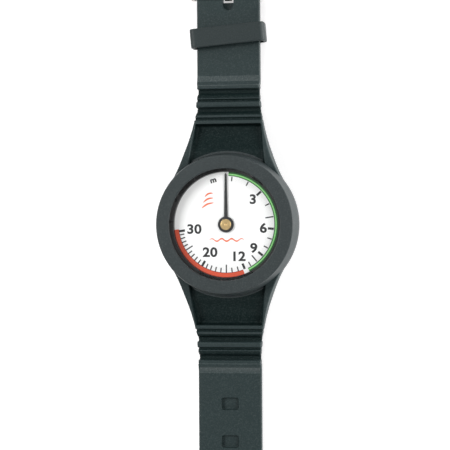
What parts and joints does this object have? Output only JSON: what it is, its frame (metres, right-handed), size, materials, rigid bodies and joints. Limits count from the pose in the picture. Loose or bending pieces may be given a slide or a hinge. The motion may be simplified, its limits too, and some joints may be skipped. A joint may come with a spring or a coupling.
{
  "type": "wrist depth gauge",
  "caption": "Round analogue depth gauge in a rubber boot on a ribbed wrist strap with keeper and buckle; oil-filled capsule with a curved tube that turns the pointer.",
  "frame": {"origin": "middle of the boot's flat back face, on the surface it rests on", "axes": "+Z out of the dial, +Y along the strap to the buckle, +X to the right of the dial"},
  "size_m": [0.0578, 0.2596, 0.018],
  "materials": {
    "boot_rubber": "fine matt moulded grain",
    "strap_rubber": "fine matt moulded grain",
    "keeper_rubber": "satin moulded",
    "seal_rubber": "smooth",
    "black_plastic": "satin",
    "black_gloss": "gloss",
    "clear_lens": "clear",
    "dial_white": "printed satin white",
    "pointer_black": "satin black",
    "boss_brass": "turned",
    "brass": "machined",
    "bronze": "drawn",
    "steel": "turned",
    "spring_steel": "blued",
    "buckle_steel": "polished"
  },
  "bodies": {
    "case": {"boot": "boot_rubber", "capsule_cup": "black_plastic", "back_cover": "black_plastic", "back_cover_screws": "steel", "diaphragm": "seal_rubber", "oil_fill_plug": "brass", "dial_plate": "dial_white", "dial_surround": "black_gloss", "lens_gasket": "seal_rubber", "lens": "clear_lens", "lens_ring": "black_plastic", "bottom_plate": "brass", "base_screws": "steel", "pillars": "brass", "top_plate": "brass", "pillar_screws": "steel", "arbor_bushes": "bronze", "tube_socket": "brass", "socket_screws": "steel", "pressure_tube": "bronze", "hairspring": "spring_steel", "hairspring_stud": "brass"},
    "tube_tip": {"tube_tip": "brass"},
    "sector": {"sector_gear": "brass", "sector_arbor": "steel", "link_pin": "steel"},
    "link": {"link_rod": "steel"},
    "pointer": {"pinion": "steel", "pointer_arbor": "steel", "hairspring_collet": "brass", "pointer": "pointer_black", "pointer_boss": "boss_brass"},
    "buckle_ribs": {"buckle_strap_ribs": "strap_rubber"},
    "buckle_side": {"buckle_strap": "strap_rubber", "buckle_pin": "steel"},
    "keeper": {"strap_keeper": "keeper_rubber"},
    "frame": {"buckle_frame": "buckle_steel"},
    "tongue": {"buckle_tongue": "buckle_steel"},
    "tail_ribs": {"tail_strap_ribs": "strap_rubber"},
    "tail_side": {"tail_strap": "strap_rubber"},
    "tail_tip": {"tail_strap_tip": "strap_rubber"}
  },
  "joints": [
    {"name": "sector_turn", "type": "hinge", "parent": "case", "child": "sector", "pos_m": [0, -0.0105, 0.008], "axis": [0, 0, 1], "range_deg": [0, 43.7], "stiffness_Nm_per_rad": 0.0001},
    {"name": "pointer_turn", "type": "hinge", "parent": "case", "child": "pointer", "pos_m": [0, 0, 0.008], "axis": [0, 0, -1], "range_deg": [0, 262.2], "deforming": ["hairspring"]},
    {"name": "link_swing", "type": "hinge", "parent": "sector", "child": "link", "pos_m": [-0.00119, -0.01347, 0.008], "axis": [0, 0, 1], "range_deg": [-43.7, 0]},
    {"name": "tube_flex", "type": "hinge", "parent": "case", "child": "tube_tip", "pos_m": [-0.00783, 0.00438, 0.008], "axis": [0, 0, 1], "range_deg": [0, 7.61], "deforming": ["pressure_tube"]},
    {"name": "buckle_flex_1", "type": "hinge", "parent": "case", "child": "buckle_ribs", "pos_m": [0, 0.0462, 0.0018], "axis": [-1, 0, 0], "range_deg": [0, 35], "stiffness_Nm_per_rad": 0.4},
    {"name": "buckle_flex_2", "type": "hinge", "parent": "buckle_ribs", "child": "buckle_side", "pos_m": [0, 0.0536, 0.0018], "axis": [-1, 0, 0], "range_deg": [0, 35], "stiffness_Nm_per_rad": 0.4},
    {"name": "keeper_slide", "type": "slide", "parent": "buckle_side", "child": "keeper", "axis": [0, 1, 0], "range_m": [-0.012, 0.0011]},
    {"name": "frame_hinge", "type": "hinge", "parent": "buckle_side", "child": "frame", "pos_m": [0, 0.092, 0.0033], "axis": [1, 0, 0], "range_deg": [-60, 60]},
    {"name": "tongue_hinge", "type": "hinge", "parent": "frame", "child": "tongue", "pos_m": [0, 0.092, 0.0033], "axis": [1, 0, 0], "range_deg": [0, 60]},
    {"name": "tail_flex_1", "type": "hinge", "parent": "case", "child": "tail_ribs", "pos_m": [0, -0.0462, 0.0018], "axis": [1, 0, 0], "range_deg": [0, 35], "stiffness_Nm_per_rad": 0.4},
    {"name": "tail_flex_2", "type": "hinge", "parent": "tail_ribs", "child": "tail_side", "pos_m": [0, -0.0536, 0.0018], "axis": [1, 0, 0], "range_deg": [0, 35], "stiffness_Nm_per_rad": 0.4},
    {"name": "tail_flex_3", "type": "hinge", "parent": "tail_side", "child": "tail_tip", "pos_m": [0, -0.0951, 0.0018], "axis": [1, 0, 0], "range_deg": [0, 35], "stiffness_Nm_per_rad": 0.4}
  ],
  "couplings": [
    {"joint": "pointer_turn", "follows": "sector_turn", "ratio": 6},
    {"joint": "link_swing", "follows": "sector_turn", "ratio": -1},
    {"joint": "tube_flex", "follows": "sector_turn", "ratio": 0.17363},
    {"joint": "buckle_flex_2", "follows": "buckle_flex_1", "ratio": 1},
    {"joint": "tail_flex_2", "follows": "tail_flex_1", "ratio": 1},
    {"joint": "tail_flex_3", "follows": "tail_flex_1", "ratio": 1}
  ]
}
